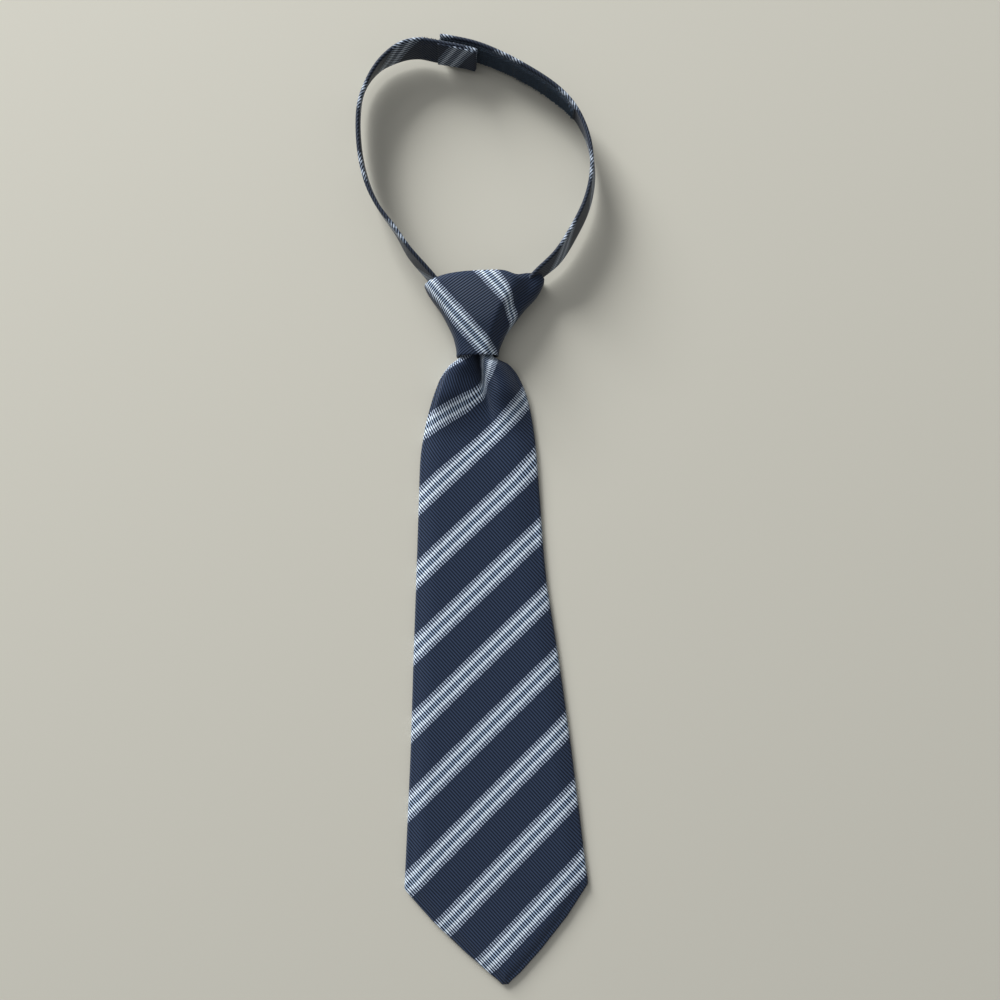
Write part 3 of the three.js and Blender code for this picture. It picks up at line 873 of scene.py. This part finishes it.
def strapStations(rows, turn):
    # turn is 1 where the strap runs anticlockwise from the knot and -1 where it runs clockwise
    def apart(a, b):
        return math.hypot(a["x"] - b["x"], a["y"] - b["y"])

    fine = finerRows(rows, strapLook["spacing"], apart)
    halfThick = strapLook["thick"] / 2
    stations = []
    walked = 0.0
    for i, row in enumerate(fine):
        before, after = fine[max(i - 1, 0)], fine[min(i + 1, len(fine) - 1)]
        along = Vector((after["x"] - before["x"], after["y"] - before["y"], 0)).normalized()
        lean = math.radians(row["lean"])
        outward = Vector((along.y * turn, -along.x * turn, 0))
        up = outward * math.sin(lean) + Vector((0, 0, math.cos(lean)))
        face = outward * math.cos(lean) - Vector((0, 0, math.sin(lean)))
        z = row["foot"] + row["width"] / 2 * math.cos(lean) + halfThick * abs(math.sin(lean))
        centre = Vector((row["x"], row["y"], z))
        walked += (centre - stations[-1]["centre"]).length if stations else 0
        stations.append({"centre": centre, "up": up, "face": face, "width": row["width"],
                         "lean": row["lean"], "walked": walked})
    return stations


def stretch(stations, start, end, spacing):
    # stations between two distances from the strap's free end
    total = stations[-1]["walked"]
    steps = max(2, round((end - start) / spacing))
    found = []
    for k in range(steps + 1):
        target = total - (start + (end - start) * k / steps)
        i = next((n for n, s in enumerate(stations) if s["walked"] >= target), len(stations) - 1)
        a, b = stations[max(i - 1, 0)], stations[max(i, 1)]
        part = (target - a["walked"]) / (b["walked"] - a["walked"])
        found.append({
            "centre": a["centre"].lerp(b["centre"], part),
            "up": a["up"].lerp(b["up"], part).normalized(),
            "face": a["face"].lerp(b["face"], part).normalized(),
            "width": b["width"],
            "lean": a["lean"] + (b["lean"] - a["lean"]) * part,
            "walked": total - target,
        })
    return found


def lappedRows(stations):
    # the end of the left strap lies inside the end of the right one, parallel to it
    look = strapLook
    rows = []
    for s in stretch(stations, -look["pastEnd"], look["overlap"], look["lapSpacing"]):
        centre = s["centre"] - s["face"] * look["closureStep"] + s["up"] * look["closureRise"]
        foot = centre.z - look["width"] / 2 * s["up"].z - look["thick"] / 2 * abs(s["face"].z)
        rows.append({"x": centre.x, "y": centre.y, "foot": foot, "lean": s["lean"],
                     "width": look["width"]})
    return rows


rightStations = strapStations(rightStrapRows, 1)
leftStations = strapStations(leftStrapRows + lappedRows(rightStations), -1)


def flatTube(width, thick):
    # a pressed tube's section as (across, out, distance down from the upper edge): it starts under the
    # lower edge, goes up the outer face, over the upper edge and down the inner face
    r = thick / 2
    straight = width / 2 - r
    quarter = strapLook["edgeSteps"]
    points = []

    def bend(middle, start, end, steps):
        for i in range(steps + 1):
            angle = math.radians(start + (end - start) * i / steps)
            points.append((middle + r * math.sin(angle), r * math.cos(angle)))

    def face(side):
        for i in range(1, strapLook["faceSteps"]):
            points.append((side * straight * (2 * i / strapLook["faceSteps"] - 1), side * r))

    bend(-straight, -90, 0, quarter)
    face(1)
    bend(straight, 0, 180, 2 * quarter)
    face(-1)
    bend(-straight, 180, 270, quarter)
    lengths = lengthsAlong(points)
    return [(a, b, lengths[-1] / 2 - length) for (a, b), length in zip(points, lengths)]


def strapCloth(walked, down, stripe):
    # stripes cross the strap on the slant: down the outer face they run on away from the knot
    angle = math.asin(repp["stripeEvery"] / strapLook["stripeEvery"])
    across = (walked - stripe) * math.sin(angle) - down * math.cos(angle)
    return across, walked * math.cos(angle) + down * math.sin(angle)


def makeStrap(name, node, stations, stripe, slant):
    # slant is 1 or -1, since the stripes of the two halves slant against each other
    look = strapLook
    sections = [flatTube(s["width"], look["thick"]) for s in stations]
    total = stations[-1]["walked"]

    def shape(row, col):
        s = stations[row]
        across, out, down = sections[row][col]
        past = 1 - (total - s["walked"]) / look["tuckLength"]
        pinch = 1 - look["tuckPinch"] * max(0.0, past) ** 2
        point = s["centre"] + s["up"] * across + s["face"] * (out * pinch)
        return point, strapCloth(s["walked"], down * slant, stripe)

    bm = clothFromGrid(len(stations) - 1, len(sections[0]) - 1, shape, weld=True)
    # the strap's cloth carries painted shade in its colours
    strap = makeCloth(name, bm, [strapReppPaintedShade, reppBack], look["wall"])
    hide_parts(node)
    return strap


strapLeft = makeStrap("strapLeft", "strap_left", leftStations, strapLook["leftStripe"], 1)
strapRight = makeStrap("strapRight", "strap_right", rightStations, strapLook["rightStripe"], -1)
say("neck strap")


# Turned-back hem on the inner face of the left end

hemLook = {
    "length": 15.0,
    "thick": 0.5,
    "fromEnd": 0.1,
    "margin": 0.5,  # narrower than the strap by this much
    "drop": 0.15,
    "stripe": 6.0,
    "stripeTurn": 62.0,
}


def besides(stations, out, up=0.0):
    # the same stations moved off the strap's face, and up along it
    return [{**s, "centre": s["centre"] + s["face"] * out + s["up"] * up} for s in stations]


def flatStrip(name, stations, width, thick, cloth, material):
    # a closed strip of tape or hem with slightly rounded edges
    section = flatTube(width, thick)

    def shape(row, col):
        s = stations[row]
        across, out, down = section[col]
        return s["centre"] + s["up"] * across + s["face"] * out, cloth(s["walked"], down)

    bm = clothFromGrid(len(stations) - 1, len(section) - 1, shape, weld=True)
    ends = [edge for edge in bm.edges if edge.is_boundary]
    bmesh.ops.holes_fill(bm, edges=ends, sides=0)
    return makeCloth(name, bm, [material])


def makeHem():
    look = hemLook
    offset = -(strapLook["thick"] + look["thick"]) / 2
    width = strapLook["width"] - look["margin"]
    folded = stretch(leftStations, look["fromEnd"], look["length"], strapLook["spacing"])
    stations = besides(folded, offset, -look["drop"])

    def cloth(walked, down):
        angle = math.radians(look["stripeTurn"])
        across = (walked - look["stripe"]) * math.sin(angle) - abs(down) * math.cos(angle)
        return across, walked * math.cos(angle) + abs(down) * math.sin(angle)

    # the hem takes the strap's cloth, with its painted shade
    hem = flatStrip("strapLeftHem", stations, width, look["thick"], cloth, strapReppPaintedShade)
    return hem


hem = makeHem()
say("hem")


# Hook tape and loop tape

tape = {
    "width": 10.0,
    "thick": 0.4,
    "hookLength": 22.0,
    "loopLength": 60.0,
    "margin": 0.5,  # from the strap's free end
    "spacing": 0.8,
    "selvedge": 0.8,  # bare width, both edges together
}
loopLook = {
    "every": 0.85,
    "height": 0.6,
    "spread": 0.7,
    "yarn": 0.09,
    "sweep": 180,
    "scatter": 0.3,  # brushed loops stand every way
    "twist": 1.4,
    "tilt": 0.6,
}
hookLook = {
    "every": 1.05,
    "height": 0.95,
    "spread": 0.5,
    "yarn": 0.1,
    "sweep": 150,
    "scatter": 0.02,  # moulded hooks stand in straight rows
    "twist": 0.1,
    "tilt": 0.04,
}
yarnSides = 4  # the loops are repeated hundreds of times, so each has few faces
yarnSteps = 6
pileSeed = 7


def makeTape(name, node, stations, side, length):
    def weave(walked, down):
        return walked, down

    offset = side * (strapLook["thick"] + tape["thick"]) / 2
    run = besides(stretch(stations, tape["margin"], length, tape["spacing"]), offset)
    strip = flatStrip(name, run, tape["width"], tape["thick"], weave, wovenTape)
    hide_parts(node)
    return strip, run


def arch(look):
    # one loop of yarn, or a hook where the sweep stops short of a half turn
    reach, sweep = look["spread"] / 2, look["sweep"]
    bm = bmesh.new()
    bmesh.ops.create_circle(bm, segments=yarnSides, radius=look["yarn"], cap_ends=sweep < 180)
    bmesh.ops.translate(bm, verts=bm.verts, vec=(reach, 0, 0))
    geometry = bm.verts[:] + bm.edges[:] + bm.faces[:]
    bmesh.ops.spin(bm, geom=geometry, cent=(0, 0, 0), axis=(0, -1, 0), angle=math.radians(sweep),
                   steps=yarnSteps)
    bmesh.ops.scale(bm, verts=bm.verts, vec=(1, 1, look["height"] / (reach + look["yarn"])))
    mesh = bpy.data.meshes.new("arch")
    bmesh.ops.recalc_face_normals(bm, faces=bm.faces)
    bm.to_mesh(mesh)
    bm.free()
    return mesh


def makePile(name, run, side, look, material):
    # copies of one loop or hook in rows on the tape's face, each a little turned and tilted
    chance = random.Random(pileSeed)
    single = arch(look)
    every, scatter = look["every"], look["scatter"]
    length = run[-1]["walked"] - run[0]["walked"]
    along = int(length / every)
    across = int((tape["width"] - tape["selvedge"]) / every)
    bm = bmesh.new()
    for i in range(along):
        s = run[round((i + 0.5) / along * (len(run) - 1))]
        forward = s["up"].cross(s["face"]).normalized()
        for j in range(across + 1):
            shift = (j - across / 2) * every + chance.uniform(-scatter, scatter)
            base = s["centre"] + s["up"] * shift + forward * chance.uniform(-scatter, scatter)
            base += s["face"] * (side * tape["thick"] / 2)
            frameOf = Matrix((forward, s["up"], s["face"] * side)).transposed()
            spin = Matrix.Rotation(chance.uniform(-1, 1) * look["twist"], 3, "Z")
            tilt = Matrix.Rotation(chance.uniform(-1, 1) * look["tilt"], 3, "X")
            copy = single.copy()
            copy.transform(Matrix.Translation(base * mm) @ (frameOf @ spin @ tilt).to_4x4()
                           @ Matrix.Scale(mm, 4))
            bm.from_mesh(copy)
            bpy.data.meshes.remove(copy)
    for face in bm.faces:
        face.smooth = True
    piece = makePiece(name, bm, [material])
    return piece


loopTape, loopRun = makeTape("loopTape", "loop_tape", rightStations, -1, tape["loopLength"])
hookTape, hookRun = makeTape("hookTape", "hook_tape", leftStations, 1, tape["hookLength"])
loopPile = makePile("loopPile", loopRun, -1, loopLook, pileYarn)
hookPile = makePile("hookPile", hookRun, 1, hookLook, hookYarn)
say("tapes with their loops and hooks")


# Stitches that hold the tapes, on the tape and on the strap's other face

stitchLook = {
    "length": 2.1,
    "every": 2.7,
    "thread": 0.16,
    "fromEdge": 0.9,
    "firstRow": 1.2,  # the row that crosses the tape at the strap's free end
    "lastRow": 0.8,  # the same at the tape's other end
    "spacing": 0.3,
}


def makeStitches(name, stations, length, tapeSide):
    look = stitchLook
    half = tape["width"] / 2 - look["fromEdge"]
    run = stretch(stations, look["firstRow"], length - look["lastRow"], look["spacing"])
    count = int((length - look["firstRow"] - look["lastRow"]) / look["every"])
    places = []
    for k in range(count):
        s = run[round((k + 0.5) / count * (len(run) - 1))]
        places += [(s, row, False) for row in (-half, half)]
    crossings = int(2 * half / look["every"])
    for s in (run[0], run[-1]):
        places += [(s, (j - (crossings - 1) / 2) * look["every"], True) for j in range(crossings)]

    bm = bmesh.new()
    strapTop = strapLook["thick"] / 2
    tapeTop = strapTop + tape["thick"]
    for s, row, crossing in places:
        forward = s["up"].cross(s["face"]).normalized()
        long, wide = (s["up"], forward) if crossing else (forward, s["up"])
        for side, height in ((tapeSide, tapeTop), (-tapeSide, strapTop)):
            made = bmesh.ops.create_icosphere(bm, subdivisions=2, radius=1)
            turn = Matrix((long * look["length"] / 2, wide * look["thread"],
                           s["face"] * look["thread"])).transposed()
            where = s["centre"] + s["up"] * row + s["face"] * (side * height)
            bmesh.ops.transform(bm, matrix=Matrix.Translation(where * mm) @ (turn * mm).to_4x4(),
                                verts=made["verts"])
    for face in bm.faces:
        face.smooth = True
    bmesh.ops.recalc_face_normals(bm, faces=bm.faces)
    piece = makePiece(name, bm, [sewingThread])
    return piece


loopStitches = makeStitches("loopTapeStitches", rightStations, tape["loopLength"], -1)
hookStitches = makeStitches("hookTapeStitches", leftStations, tape["hookLength"], 1)
say("stitches")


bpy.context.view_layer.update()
say("done")
